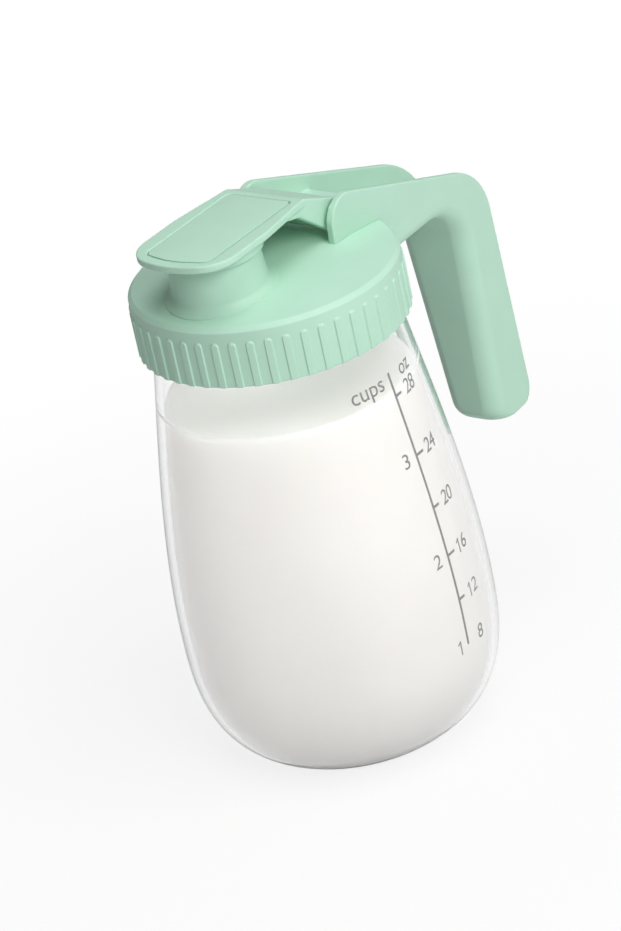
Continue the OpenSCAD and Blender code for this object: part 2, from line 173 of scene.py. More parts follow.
def carve(piece, tool, how):
    mod = piece.modifiers.new("carve", "BOOLEAN")
    mod.operation = how
    mod.solver = "EXACT"
    mod.object = tool
    bakeShape(piece)
    spare = tool.data
    bpy.data.objects.remove(tool)
    bpy.data.meshes.remove(spare)


gridTurn = (0.52, 0.61, 0.44)  # radians by which the remesh grid is off every long edge
plainAngle = None


def softenEdges(piece, grain, rounds, share=1.0):
    # fine remesh and a little smoothing give every moulded edge its small radius
    turn = Euler(gridTurn).to_matrix().to_4x4()
    piece.data.transform(turn)
    mod = piece.modifiers.new("grain", "REMESH")
    mod.mode = "VOXEL"
    mod.voxel_size = grain
    smooth = piece.modifiers.new("soften", "SMOOTH")
    smooth.factor = 0.5
    smooth.iterations = rounds
    if share < 1:
        thin = piece.modifiers.new("thin", "DECIMATE")
        thin.ratio = share
    bakeShape(piece)
    piece.data.transform(turn.inverted())


def copyNode(name, node):
    # a node's own shape in millimetres, ready to be softened
    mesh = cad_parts[node].data.copy()
    mesh.transform(Matrix.Scale(1 / mm, 4))
    bm = bmesh.new()
    bm.from_mesh(mesh)
    bmesh.ops.remove_doubles(bm, verts=bm.verts, dist=weldDist)
    bm.to_mesh(mesh)
    bm.free()
    piece = bpy.data.objects.new(name, mesh)
    scene.collection.objects.link(piece)
    return piece


# finish helpers

noiseLow, noiseHigh = 0.3, 0.7  # the stretch of a noise's range over which its ramps run


def grey(v):
    return (v, v, v, 1)


def startFinish(name):
    mat = bpy.data.materials.new(name)
    mat.use_nodes = True
    nodes = mat.node_tree.nodes
    shader = nodes["Principled BSDF"]
    place = nodes.new("ShaderNodeTexCoord")
    return mat, nodes, mat.node_tree.links, shader, place


def addNoise(nodes, links, place, scale, detail):
    noise = nodes.new("ShaderNodeTexNoise")
    noise.inputs["Scale"].default_value = scale
    noise.inputs["Detail"].default_value = detail
    links.new(place.outputs["Object"], noise.inputs["Vector"])
    return noise.outputs["Fac"]


def addRamp(nodes, links, source, low, high):
    # low and high are a place on the ramp and the colour there
    ramp = nodes.new("ShaderNodeValToRGB")
    for stop, (spot, colour) in zip(ramp.color_ramp.elements, (low, high)):
        stop.position = spot
        stop.color = colour
    links.new(source, ramp.inputs["Fac"])
    return ramp.outputs["Color"]


def addTint(nodes, links, shader, source, look):
    tint = addRamp(nodes, links, source, (noiseLow, look["deep"]), (noiseHigh, look["pale"]))
    links.new(tint, shader.inputs["Base Color"])


def addGloss(nodes, links, shader, source, look, low=noiseLow, high=noiseHigh):
    gloss = addRamp(nodes, links, source, (low, grey(look["smoothest"])), (high, grey(look["roughest"])))
    links.new(gloss, shader.inputs["Roughness"])


def addBump(nodes, links, shader, source, look):
    bump = nodes.new("ShaderNodeBump")
    bump.inputs["Strength"].default_value = look["bump"]
    bump.inputs["Distance"].default_value = look["bumpDepth"]
    links.new(source, bump.inputs["Height"])
    links.new(bump.outputs["Normal"], shader.inputs["Normal"])


# finishes

mintLook = dict(pale=(0.520, 0.790, 0.635, 1), deep=(0.495, 0.765, 0.610, 1), cloudScale=70, grainScale=2600,
                smoothest=0.40, roughest=0.52, specular=0.38, bump=0.25, bumpDepth=0.00004)


def mintPlastic():
    # satin moulded plastic: faint cloudy colour, fine spark-eroded grain
    mat, nodes, links, shader, place = startFinish("mintPlastic")
    cloud = addNoise(nodes, links, place, mintLook["cloudScale"], detail=4)
    grain = addNoise(nodes, links, place, mintLook["grainScale"], detail=2)
    addTint(nodes, links, shader, cloud, mintLook)
    addGloss(nodes, links, shader, grain, mintLook)
    addBump(nodes, links, shader, grain, mintLook)
    shader.inputs["Specular IOR Level"].default_value = mintLook["specular"]
    return mat


# the rim tint is painted shade: the wall turns grey towards its outline where it is seen edge on
glassLook = dict(clear=(0.995, 0.997, 0.998, 1), rim=(0.74, 0.76, 0.78, 1), edgeShadeAt=0.72, edgeShadeBlend=0.35,
                 ior=1.33, smoothest=0.0, roughest=0.03, hazeScale=35, hazeLow=0.35, hazeHigh=0.75)


def clearGlass():
    # polished clear wall, with painted edge shade: a grey tint where it is seen edge on, set by the view
    # angle
    mat, nodes, links, shader, place = startFinish("clearGlass")
    haze = addNoise(nodes, links, place, glassLook["hazeScale"], detail=1)
    # painted shade: the tint darkens as the wall turns edge on to the view
    edge = nodes.new("ShaderNodeLayerWeight")
    edge.inputs["Blend"].default_value = glassLook["edgeShadeBlend"]
    tint = addRamp(nodes, links, edge.outputs["Facing"], (glassLook["edgeShadeAt"], glassLook["clear"]),
                   (1.0, glassLook["rim"]))
    links.new(tint, shader.inputs["Base Color"])
    addGloss(nodes, links, shader, haze, glassLook, glassLook["hazeLow"], glassLook["hazeHigh"])
    shader.inputs["Transmission Weight"].default_value = 1.0
    shader.inputs["IOR"].default_value = glassLook["ior"]
    return mat


milkLook = dict(pale=(0.770, 0.756, 0.735, 1), deep=(0.748, 0.731, 0.709, 1), cloudScale=22, roughness=0.32,
                specular=0.25, spread=(1.0, 0.92, 0.84), depth=0.025, bump=0.05, bumpDepth=0.0002)


def freshMilk():
    # warm white that light enters, with a faint creamy drift
    mat, nodes, links, shader, place = startFinish("freshMilk")
    drift = addNoise(nodes, links, place, milkLook["cloudScale"], detail=3)
    addTint(nodes, links, shader, drift, milkLook)
    addBump(nodes, links, shader, drift, milkLook)
    shader.inputs["Roughness"].default_value = milkLook["roughness"]
    shader.inputs["Subsurface Weight"].default_value = 1.0
    shader.inputs["Subsurface Radius"].default_value = milkLook["spread"]
    shader.inputs["Subsurface Scale"].default_value = milkLook["depth"]
    shader.inputs["Specular IOR Level"].default_value = milkLook["specular"]
    return mat


inkLook = dict(pale=(0.330, 0.325, 0.322, 1), deep=(0.265, 0.262, 0.258, 1), speckScale=1800, roughness=0.55,
               bump=0.2, bumpDepth=0.00003)


def greyInk():
    # screen-printed grey, slightly uneven cover
    mat, nodes, links, shader, place = startFinish("greyInk")
    speck = addNoise(nodes, links, place, inkLook["speckScale"], detail=3)
    addTint(nodes, links, shader, speck, inkLook)
    addBump(nodes, links, shader, speck, inkLook)
    shader.inputs["Roughness"].default_value = inkLook["roughness"]
    return mat


siliconeLook = dict(pale=(0.86, 0.86, 0.84, 1), deep=(0.81, 0.81, 0.79, 1), hazeScale=110, dustScale=1500,
                    smoothest=0.50, roughest=0.64, milky=0.3, spread=(1.0, 1.0, 1.0), depth=0.002,
                    bump=0.2, bumpDepth=0.00003)


def softSilicone():
    # milky soft rubber with a dusty surface
    mat, nodes, links, shader, place = startFinish("softSilicone")
    haze = addNoise(nodes, links, place, siliconeLook["hazeScale"], detail=3)
    dust = addNoise(nodes, links, place, siliconeLook["dustScale"], detail=2)
    addTint(nodes, links, shader, haze, siliconeLook)
    addGloss(nodes, links, shader, dust, siliconeLook)
    addBump(nodes, links, shader, dust, siliconeLook)
    shader.inputs["Subsurface Weight"].default_value = siliconeLook["milky"]
    shader.inputs["Subsurface Radius"].default_value = siliconeLook["spread"]
    shader.inputs["Subsurface Scale"].default_value = siliconeLook["depth"]
    return mat


mint = mintPlastic()
glass = clearGlass()
milk = freshMilk()
ink = greyInk()
silicone = softSilicone()
print("finishes made")


# jar

jar = dict(shoulderZ=146.5, shoulderR=39.9, bellyR=51.5, bellyZ=46.5, footR=29, heelPower=3, wall=2.5,
           floor=4, bellyPull=38.4, shoulderPull=15.8, shoulderLean=0.1,
           neckR=38.4, neckStep=1.5, neckEase=0.35, threadZ=151.2, rimZ=161.5, rimRound=0.9,
           rimRoom=1.2, mouthRows=(5, 10), rowStep=0.5, inkRoom=0.08,
           footRound=3, footPull=0.4, footRings=(10, 20), footSteps=7, heelStart=1.6,
           innerRound=7, innerPull=1.2, innerLift=3.5, innerRings=(8, 18, 26), innerSteps=8,
           heelSteps=30, sideSteps=56, readSteps=200, around=192)
thread = dict(pitch=6, turns=1.1, depth=1.9, half=1.3, crest=0.65, fadeRate=12)  # on the neck and in the lid


def heelRadius(z):
    p = jar["heelPower"]
    tall = jar["bellyZ"] / (1 - (jar["footR"] / jar["bellyR"]) ** p) ** (1 / p)
    return jar["bellyR"] * (1 - ((jar["bellyZ"] - z) / tall) ** p) ** (1 / p)


def heelHeights():
    # closest together near the foot, where the heel curves most
    steps = jar["heelSteps"]
    return [jar["bellyZ"] * (1 - math.cos(math.pi / 2 * k / steps)) for k in range(1, steps)]


def sidePoint(t):
    # on the curve from the belly up to the shoulder
    j = jar
    a = Vector((j["bellyR"], j["bellyZ"]))
    b = Vector((j["bellyR"], j["bellyZ"] + j["bellyPull"]))
    c = Vector((j["shoulderR"] + j["shoulderLean"] * j["shoulderPull"], j["shoulderZ"] - j["shoulderPull"]))
    d = Vector((j["shoulderR"], j["shoulderZ"]))
    return (1 - t) ** 3 * a + 3 * t * (1 - t) ** 2 * b + 3 * t * t * (1 - t) * c + t ** 3 * d


def sidePoints(steps):
    return [sidePoint(k / steps) for k in range(steps + 1)]


sideLine = sidePoints(jar["readSteps"])


def jarRadius(z):
    # outside radius of the jar's body at a height
    if z <= jar["bellyZ"]:
        return heelRadius(max(z, 0))
    for low, high in zip(sideLine, sideLine[1:]):
        if z <= high.y:
            return low.x + (high.x - low.x) * (z - low.y) / (high.y - low.y)
    return jar["shoulderR"]


def threadHeight(a, z, start):
    # 0 between the threads, 1 on the crest, fading in and out at the thread's two ends
    turns, half = thread["turns"], thread["half"]
    best = 0
    for lap in range(math.ceil(turns)):
        turned = a / (2 * math.pi) + lap
        if turned > turns:
            continue
        off = abs(z - start - thread["pitch"] * turned)
        fade = min(1, turned * thread["fadeRate"], (turns - turned) * thread["fadeRate"])
        best = max(best, fade * min(1, max(0, (half - off) / (half - thread["crest"]))))
    return best


def innerLine():
    # inside of the jar from the floor's centre up to the shoulder
    j = jar
    heel = [(heelRadius(z) - j["wall"], z) for z in heelHeights() if z > j["floor"] + j["innerLift"]]
    edgeR, edgeZ = heel[0]
    flatR = edgeR - j["innerRound"]
    line = [(r, j["floor"]) for r in (*j["innerRings"], flatR)]
    pull = (edgeR - j["innerPull"], j["floor"])
    for k in range(1, j["innerSteps"]):  # soft inner corner between floor and wall
        line.append(curvePoint((flatR, j["floor"]), pull, (edgeR, edgeZ), k / j["innerSteps"]))
    return line + heel + [(p.x - j["wall"], p.y) for p in sidePoints(j["sideSteps"])]


def makeJar():
    j = jar
    flatR = j["footR"] - j["footRound"]
    pull, heel = (j["footR"] + j["footPull"], 0), (heelRadius(j["heelStart"]), j["heelStart"])
    body = [(r, 0) for r in (*j["footRings"], flatR)]
    for k in range(1, j["footSteps"]):  # foot runs into the heel in a soft curve
        body.append(curvePoint((flatR, 0), pull, heel, k / j["footSteps"]))
    body += [(heelRadius(z), z) for z in heelHeights() if z >= j["heelStart"]]
    body += [tuple(p) for p in sidePoints(j["sideSteps"])]
    line = [(0, 0)] + [(r - j["inkRoom"] if z < j["shoulderZ"] else r, z) for r, z in body]
    neck, mouth, top = j["neckR"], j["neckR"] - j["wall"], j["rimZ"]
    shelf = j["shoulderZ"] + j["neckStep"]
    line += [(neck + j["neckEase"], shelf - j["rowStep"]), (neck, shelf)]
    z = shelf + j["rowStep"]
    while z < top - j["rimRoom"]:  # rows close enough to carry the thread
        line.append((neck, z))
        z += j["rowStep"]
    r = j["rimRound"]
    line += cornerArc(neck - r, top - r, r, 0, 90) + cornerArc(mouth + r, top - r, r, 90, 180)
    line += [(mouth, top - drop) for drop in j["mouthRows"]] + [(mouth, shelf)]
    line += innerLine()[::-1] + [(0, j["floor"])]

    def swell(a, radius, z):
        if radius < neck or z < shelf:  # only the neck's outside carries the thread
            return 0
        return thread["depth"] * threadHeight(a, z, j["threadZ"])

    piece = lathePiece("jarGlass", line, j["around"], swell)
    piece.visible_shadow = False  # light reaches the milk straight through the clear wall
    return finishPiece(piece, "jar", glass, ("jar",))


makeJar()


# milk

milkFill = dict(level=126.3, gap=0.06, edge=1, meniscus=0.9, creep=3.2, curl=2.5, creepSteps=7,
                rings=(0.75, 0.5, 0.25), around=128)


def makeMilk():
    m = milkFill
    gap, level = m["gap"], m["level"]
    low = jar["floor"] + gap  # a hair off the glass, so that the clear wall shows round the milk
    line = [(0, low)]
    for r, z in innerLine():
        if z < level - m["edge"]:
            line.append((r - gap, max(z, low)))
    wallR = jarRadius(level) - jar["wall"] - gap
    line.append((wallR, level + m["meniscus"]))
    for k in range(1, m["creepSteps"] + 1):  # the surface creeps up the wall a little
        t = k / m["creepSteps"]
        line.append((wallR - m["creep"] * t, level + m["meniscus"] * (1 - t) ** m["curl"]))
    line += [(wallR * share, level) for share in m["rings"]] + [(0, level)]
    piece = lathePiece("milkFill", line, m["around"])
    return finishPiece(piece, "jar", milk)


milkPiece = makeMilk()


# printed volume scale

scalePrint = dict(meridian=-90, proud=0.01, thick=0.05, lineW=0.9, lineTop=134.3, lineLow=38.0, lineSteps=90,
                  marks=((126.3, "28", ""), (105.7, "24", "3"), (87.3, "20", ""), (70.2, "16", "2"),
                         (54.3, "12", ""), (38.4, "8", "1")),
                  shortTick=2.6, longTick=3.4, tickSteps=6, digitH=4.95, digitPitch=3.15, digitStroke=0.55,
                  fontH=0.7, flag=0.24, flagTip=(0.2, 0.4), flagStroke=0.9, flagSteps=3,
                  rightAt=8.6, leftAt=-4.9, nudge={"8": -0.7, "1": 1.3},
                  words=(("cups", -10.0, 132.5, 5.3), ("oz", 8.9, 132.8, 5.0)))


def onJar(u, z, lift):
    # u runs round the jar from the scale's line, in millimetres of arc
    r = jarRadius(z) - jar["inkRoom"]
    a = math.radians(scalePrint["meridian"]) + u / r
    return Vector(((r + lift) * math.cos(a), (r + lift) * math.sin(a), z))


def printBar(start, end, width, along):
    # thin closed slab of ink between two points on the glass
    step = Vector(end) - Vector(start)
    side = Vector((-step.y, step.x)).normalized() * (width / 2)
    points, faces = [], []
    for lift in (scalePrint["proud"], scalePrint["proud"] + scalePrint["thick"]):
        for k in range(along + 1):
            spot = Vector(start) + step * (k / along)
            for across in (-1, 0, 1):
                points.append(onJar(spot.x + side.x * across, spot.y + side.y * across, lift))
    layer = 3 * (along + 1)
    for k in range(along):
        for i in (0, 1):
            a = 3 * k + i
            faces.append((a, a + 1, a + 4, a + 3))
            faces.append((layer + a, layer + a + 3, layer + a + 4, layer + a + 1))
    last = 3 * along
    rim = [0, 1, 2] + [3 * k + 2 for k in range(1, along)] + [last + 2, last + 1, last]
    rim += [3 * k for k in range(along - 1, 0, -1)]
    for k, a in enumerate(rim):
        b = rim[(k + 1) % len(rim)]
        faces.append((b, a, layer + a, layer + b))
    return points, faces


def printWord(text, u, z, height):
    # letters are cut from a flat text object, then laid round the jar
    curve = bpy.data.curves.new("word", "FONT")
    curve.body = text
    curve.align_x = "CENTER"
    curve.align_y = "CENTER"
    curve.size = height / scalePrint["fontH"]
    curve.resolution_u = 4
    letters = bpy.data.objects.new("word", curve)
    scene.collection.objects.link(letters)
    graph = bpy.context.evaluated_depsgraph_get()
    flat = bpy.data.meshes.new_from_object(letters.evaluated_get(graph))
    bm = bmesh.new()
    bm.from_mesh(flat)
    bmesh.ops.remove_doubles(bm, verts=bm.verts, dist=weldDist)
    bmesh.ops.triangulate(bm, faces=bm.faces)
    raised = bmesh.ops.extrude_face_region(bm, geom=bm.faces[:])
    top = {v for v in raised["geom"] if isinstance(v, bmesh.types.BMVert)}
    for v in bm.verts:
        lift = scalePrint["proud"] + (scalePrint["thick"] if v in top else 0)
        v.co = onJar(u + v.co.x, z + v.co.y, lift)
    bm.verts.index_update()
    points = [v.co.copy() for v in bm.verts]
    faces = [tuple(v.index for v in f.verts) for f in bm.faces]
    bm.free()
    bpy.data.objects.remove(letters)
    bpy.data.curves.remove(curve)
    bpy.data.meshes.remove(flat)
    return points, faces


def printNumber(text, u, z):
    # figure by figure; the 1 is drawn with its flag
    p = scalePrint
    size, stroke = p["digitH"], p["digitStroke"]
    low, top = z - size / 2, z + size / 2
    flag = size * p["flag"]
    parts = []
    for k, figure in enumerate(text):
        at = u + p["digitPitch"] * (k - (len(text) - 1) / 2)
        if figure == "1":
            tip = (at - stroke * p["flagTip"][0], top - stroke * p["flagTip"][1])
            parts.append(printBar((at, low), (at, top), stroke, p["tickSteps"]))
            parts.append(printBar((at - flag, top - flag), tip, stroke * p["flagStroke"], p["flagSteps"]))
        else:
            parts.append(printWord(figure, at, z, size))
    return parts


def makeScale():
    p = scalePrint
    half = p["lineW"] / 2
    parts = [printBar((0, p["lineLow"]), (0, p["lineTop"]), p["lineW"], p["lineSteps"])]
    for z, right, left in p["marks"]:
        tick = p["longTick"] if left else p["shortTick"]
        if z > p["marks"][-1][0]:
            parts.append(printBar((half, z), (half + tick, z), p["lineW"], p["tickSteps"]))
        parts += printNumber(right, p["rightAt"] + p["nudge"].get(right, 0), z)
        if left:
            parts += printNumber(left, p["leftAt"] + p["nudge"].get(left, 0), z)
    for text, u, z, height in p["words"]:
        parts.append(printWord(text, u, z, height))
    points, faces = [], []
    for partPoints, partFaces in parts:
        shift = len(points)
        points += partPoints
        faces += [tuple(i + shift for i in f) for f in partFaces]
    piece = newPiece("scalePrint", points, faces)
    piece.visible_shadow = False
    piece.visible_transmission = False  # no ghost of the ink on the milk behind it
    return finishPiece(piece, "jar", ink)


makeScale()


# lid

lid = dict(lowZ=146.5, seatZ=163.5, bevelZ=165.2, topZ=166.6, boreR=40.9, bandR=43.6, ribR=44.08,
           domeR=42.2, domeRise=4.4, wall=2.7, innerR=34.2, ribs=48, ribHalf=1.18, ribEdge=0.34, ribTop=161.9,
           ribRoom=0.5, ribEnd=1.8, ribStep=0.24, bandRows=(158, 154, 150, 147.6),
           bevelLead=6, bevelRound=0.6, bevelSteps=4, rimRound=0.3, rimShare=0.985,
           boreLead=(0.5, 0.4), boreTop=160, seatEdge=(0.3, 0.05),
           spoutX=-21, tipR=14.4, rootR=15.6, footR=18, footZ=171.4, footStep=0.3, footEase=0.06, flareDeg=55,
           flareSteps=8, mouthZ=183.2, mouthRound=0.7, spoutBoreR=12.4, spoutBoreRows=(172, 178),
           threadZ=148.2, threadTop=157.2, threadStep=0.5, flatAngle=17)
ribSpots = (-0.5, -0.36, -0.265, -0.235, -0.205, -0.175, -0.145, 0, 0.145, 0.175, 0.205, 0.235, 0.265, 0.36)
spoutShares = (0.3, 0.65, 1.0)  # rows down the spout's outer wall
domeShares = (0, 0.06, 0.15, 0.28, 0.42, 0.56, 0.7, 0.82, 0.92, 1.0)  # rows from spout's foot to bevel
underShares = (0, 0.25, 0.5, 0.75, 1.0)  # rows under the dome, from the seat to the spout's bore


def domeHeight(x, y):
    return lid["topZ"] + lid["domeRise"] * (1 - (x * x + y * y) / lid["domeR"] ** 2)


def ribHeight(spot, z):
    # raised finger with a round upper end, seen from the side of the lid
    pitch = 2 * math.pi * lid["bandR"] / lid["ribs"]
    end = lid["ribTop"] - lid["ribHalf"]
    off = math.hypot(spot * pitch, max(0, z - end))
    t = (lid["ribHalf"] + lid["ribEdge"] / 2 - off) / lid["ribEdge"]
    t = min(1, max(0, t))
    return t * t * (3 - 2 * t)


def bandRow(spots, r, z, ribbed=False, threaded=False):
    # loop round the lid's axis
    row = []
    for a, spot in spots:
        rr = r
        if ribbed:
            rr += (lid["ribR"] - lid["bandR"]) * ribHeight(spot, z)
        if threaded:
            rr -= thread["depth"] * threadHeight(a % (2 * math.pi), z, lid["threadZ"])
        row.append((rr * math.cos(a), rr * math.sin(a), z))
    return row


def spoutRing(aims, r):
    # loop round the spout's axis, seen from above
    return [(lid["spoutX"] + r * c, r * s) for c, s in aims]


def domeRow(starts, ends, t, drop=0):
    # loop between two others, on the dome or a wall's thickness under it
    row = []
    for (x0, y0), (x1, y1) in zip(starts, ends):
        x, y = x0 + (x1 - x0) * t, y0 + (y1 - y0) * t
        row.append((x, y, domeHeight(x, y) - drop))
    return row


def spoutRows(aims):
    # bore, round mouth, outer wall, flared foot down to the dome
    bore, m, brink = lid["spoutBoreR"], lid["mouthRound"], lid["mouthZ"] - lid["mouthRound"]
    line = [(bore, z) for z in lid["spoutBoreRows"]]
    line += cornerArc(bore + m, brink, m, 180, 90) + cornerArc(lid["tipR"] - m, brink, m, 90, 0)
    for t in spoutShares:
        line.append((lid["tipR"] + (lid["rootR"] - lid["tipR"]) * t, brink + (lid["footZ"] - brink) * t))
    rows = [[(x, y, z) for x, y in spoutRing(aims, r)] for r, z in line]
    flare = math.radians(lid["flareDeg"])
    foot = spoutRing(aims, lid["footR"])
    for k in range(1, lid["flareSteps"] + 1):
        a = flare * k / lid["flareSteps"]
        r = lid["rootR"] + (lid["footR"] - lid["rootR"]) * (1 - math.cos(a)) / (1 - math.cos(flare))
        row = []
        for (x, y), (fx, fy) in zip(spoutRing(aims, r), foot):
            fall = domeHeight(fx, fy) + lid["footStep"] - lid["footZ"]
            row.append((x, y, lid["footZ"] + fall * math.sin(a) / math.sin(flare)))
        rows.append(row)
    return rows


def skirtRows(spots):
    # bevel, band, ribs, lower rim
    band, low, q = lid["bandR"], lid["lowZ"], lid["rimRound"]
    leadR = lid["domeR"] - lid["bevelLead"]
    bevel = roundPath(((leadR, domeHeight(leadR, 0), 0), (lid["domeR"], lid["topZ"], lid["bevelRound"]),
                       (band, lid["bevelZ"], lid["bevelRound"]), (band, low, 0), (leadR, low, 0)),
                      lid["bevelSteps"])
    rows = [bandRow(spots, p.x, p.y) for p in bevel[1:-2]]
    z = lid["ribTop"] + lid["ribRoom"]
    while z > lid["ribTop"] - lid["ribEnd"]:
        rows.append(bandRow(spots, band, z, ribbed=True))
        z -= lid["ribStep"]
    rows += [bandRow(spots, band, z, ribbed=True) for z in lid["bandRows"]]
    rim = cornerArc(-q, low + q, q, 0, -90)
    return rows + [bandRow(spots, band + inward, z, ribbed=True) for inward, z in rim]


def boreRows(spots, aims):
    # inside: bore with its thread, seat, underside of the dome
    bore, low, seat, inner = lid["boreR"], lid["lowZ"], lid["seatZ"], lid["innerR"]
    wider, lift = lid["boreLead"]
    rows = [bandRow(spots, bore + wider, low), bandRow(spots, bore, low + lift)]
    z = low + 2 * lift
    while z < lid["threadTop"]:
        rows.append(bandRow(spots, bore, z, threaded=True))
        z += lid["threadStep"]
    ease, rise = lid["seatEdge"]
    for r, z in ((bore, lid["boreTop"]), (bore, seat - rise), (bore - ease, seat), (inner + ease, seat)):
        rows.append(bandRow(spots, r, z))
    ring = [(inner * math.cos(a), inner * math.sin(a)) for a, spot in spots]
    hole = spoutRing(aims, lid["spoutBoreR"])
    return rows + [domeRow(ring, hole, t, lid["wall"]) for t in underShares]


def makeLid():
    # one closed grid: each column has an angle on the rim and a place within its rib's pitch
    spots = []
    for rib in range(lid["ribs"]):
        for spot in ribSpots:
            spots.append((2 * math.pi * (rib + spot) / lid["ribs"], spot))
    rim = [(lid["domeR"] * math.cos(a), lid["domeR"] * math.sin(a)) for a, spot in spots]
    aims = []  # direction from the spout's axis to each point of the rim
    for x, y in rim:
        away = math.atan2(y, x - lid["spoutX"])
        aims.append((math.cos(away), math.sin(away)))
    foot = spoutRing(aims, lid["footR"] + lid["footEase"])
    edge = [(x * lid["rimShare"], y * lid["rimShare"]) for x, y in rim]
    rows = spoutRows(aims) + [domeRow(foot, edge, t) for t in domeShares]
    rows += skirtRows(spots) + boreRows(spots, aims)
    points = [p for row in rows for p in row]
    piece = newPiece("lidShell", points, ringFaces(len(rows), len(spots), closed=True))
    return finishPiece(piece, "lid_unit", mint, ("lid",), lid["flatAngle"])


makeLid()


# gasket ring and spout seal

gasketRing = dict(inR=36.2, outR=40.6, lowZ=161.5, thick=2, round=0.6, grooveHalf=0.9, grooveDepth=0.45,
                  grooveEdge=0.2, grooveRound=0.3, arcSteps=4, around=160, flatAngle=50)


def makeGasket():
    g = gasketRing
    low, top, mid = g["lowZ"], g["lowZ"] + g["thick"], (g["inR"] + g["outR"]) / 2
    corners = ((g["inR"], low, g["round"]), (mid - g["grooveHalf"], low, g["grooveEdge"]),
               (mid, low + g["grooveDepth"], g["grooveRound"]), (mid + g["grooveHalf"], low, g["grooveEdge"]),
               (g["outR"], low, g["round"]), (g["outR"], top, g["round"]), (g["inR"], top, g["round"]))
    profile = [tuple(p) for p in roundPath(corners, g["arcSteps"])]
    piece = lathePiece("gasketRing", profile, g["around"])
    return finishPiece(piece, "seal", silicone, ("lid_gasket",), g["flatAngle"])


sealPlug = dict(lowZ=180.6, plugR=11.9, draft=1.0, discLow=183.5, discR=14.8, discTop=185.6, stemR=2.6,
                stemTop=186.9, round=0.5, hollow=1.2, hollowIn=4, hollowRound=0.6, lipIn=3, lipRound=0.4,
                stepRound=0.3, stemRound=0.4, arcSteps=4, around=96, flatAngle=50)


def makeSeal():
    s = sealPlug
    low, plugR, roof = s["lowZ"], s["plugR"], s["lowZ"] + s["hollow"]
    corners = ((0, roof, 0), (plugR - s["hollowIn"], roof, s["hollowRound"]),
               (plugR - s["lipIn"], low, s["lipRound"]), (plugR - s["draft"], low, s["round"]),
               (plugR, s["discLow"], s["stepRound"]), (s["discR"], s["discLow"], s["round"]),
               (s["discR"], s["discTop"], s["round"]), (s["stemR"], s["discTop"], s["stepRound"]),
               (s["stemR"], s["stemTop"], s["stemRound"]), (0, s["stemTop"], 0))
    profile = [tuple(p) for p in roundPath(corners, s["arcSteps"])]
    piece = lathePiece("sealPlug", profile, s["around"], centre=(lid["spoutX"], 0))
    return finishPiece(piece, "flip", silicone, ("spout_seal",), s["flatAngle"])


makeGasket()
makeSeal()


# handle: side outline, rounded form across it, hollow, all at a finer step than the frame

handle = dict(hingeX=22.5, hingeZ=174.85, earR=8.5, armSlope=20.5, armZ=151.5, gripBack=97.68, gripDepth=15.6,
              gripLow=64.5, leanBack=6.4, leanFront=2.7, bendOutR=24, bendInR=17, endR=7.5, wall=2.6,
              earHalfW=20, taperBack=2.35, taperDown=3.25, roundW=7.5, roundD=6, armRound=4, flatMin=1,
              lidGap=-0.25, lidR=44.3, saddleZ=169.93, stepX=46.9, stepRound=1, deepRound=2, tipR=1.2,
              overcut=1, faceRoom=0.2, farAway=300, farSide=80, plateHalfW=30, toolLow=60,
              arcSteps=28, edgeSteps=20, endSteps=16, bendSteps=32, toolSteps=12, toolAround=128,
              grain=0.3, soften=9, keep=0.3)


def tanDeg(a):
    return math.tan(math.radians(a))


def faceAt(z):
    # X of the grip's front face at a height
    return handle["gripBack"] - handle["gripDepth"] + (handle["armZ"] - z) * tanDeg(handle["leanFront"])


def handleOutline():
    # ear, arm, bend and grip from the side, in X and Z
    h = handle
    c, s = math.cos(math.radians(h["armSlope"])), math.sin(math.radians(h["armSlope"]))
    bendZ = h["hingeZ"] + (h["earR"] - (h["gripBack"] - h["hingeX"]) * s) / c
    crownZ = h["hingeZ"] + (h["earR"] + h["earR"] * s) / c
    earX, low = h["hingeX"] - h["earR"], h["gripLow"]
    backX = h["gripBack"] + (bendZ - low) * tanDeg(h["leanBack"])
    return roundPath(((earX, h["armZ"], 0), (earX, crownZ, h["earR"]), (h["gripBack"], bendZ, h["bendOutR"]),
                      (backX, low, h["endR"]), (faceAt(low), low, h["endR"]),
                      (faceAt(h["armZ"]), h["armZ"], h["bendInR"])), h["arcSteps"])


def hollowOutline():
    # the space in the handle from the side, open at the top and at the back
    h = handle
    wall, far, under = h["wall"], h["farAway"], h["armZ"] - h["overcut"]
    startX, saddleX = h["hingeX"] - 2 * h["earR"], h["hingeX"] + h["earR"]
    floorZ, deep = h["armZ"] + wall, h["gripLow"] + h["endR"] + wall
    return roundPath(((startX, under, 0), (startX, far, 0), (far, far, 0), (far, deep, 0),
                      (faceAt(deep) + wall, deep, h["deepRound"]),
                      (faceAt(h["armZ"]) + wall, floorZ, h["bendInR"] + wall),
                      (h["stepX"], floorZ, h["stepRound"]), (h["stepX"], h["saddleZ"], h["stepRound"]),
                      (saddleX, h["saddleZ"], 0), (saddleX, under, 0)), h["arcSteps"])


def handleHalfW(x, z, inset):
    h = handle
    lean = math.sqrt(tanDeg(h["taperBack"]) ** 2 + 1 + tanDeg(h["taperDown"]) ** 2)
    return (h["earHalfW"] - (x - h["hingeX"] + h["earR"]) * tanDeg(h["taperBack"])
            - (h["hingeZ"] + h["earR"] - z) * tanDeg(h["taperDown"]) - inset * lean)


def formSection(px, pz, nx, nz, wide, deep, inset, shrink=0):
    # one section across the handle: flat inner face, elliptical edges, leaning sides
    h = handle
    qx, qz, d = px + nx * inset, pz + nz * inset, deep - inset
    sideW = handleHalfW(qx + nx * d, qz + nz * d, inset) - shrink
    flatW = max(h["flatMin"], sideW - wide + inset)
    right = []
    for k in range(h["edgeSteps"] + 1):
        a = math.pi / 2 * k / h["edgeSteps"]
        right.append((flatW + (sideW - flatW) * math.sin(a), d - (d + h["faceRoom"]) * math.cos(a)))
    far = h["farSide"]
    right.append((handleHalfW(qx + nx * far, qz + nz * far, inset) - shrink, far))
    loop = right + [(-y, n) for y, n in reversed(right)]
    return [(qx + nx * n, y, qz + nz * n) for y, n in loop]


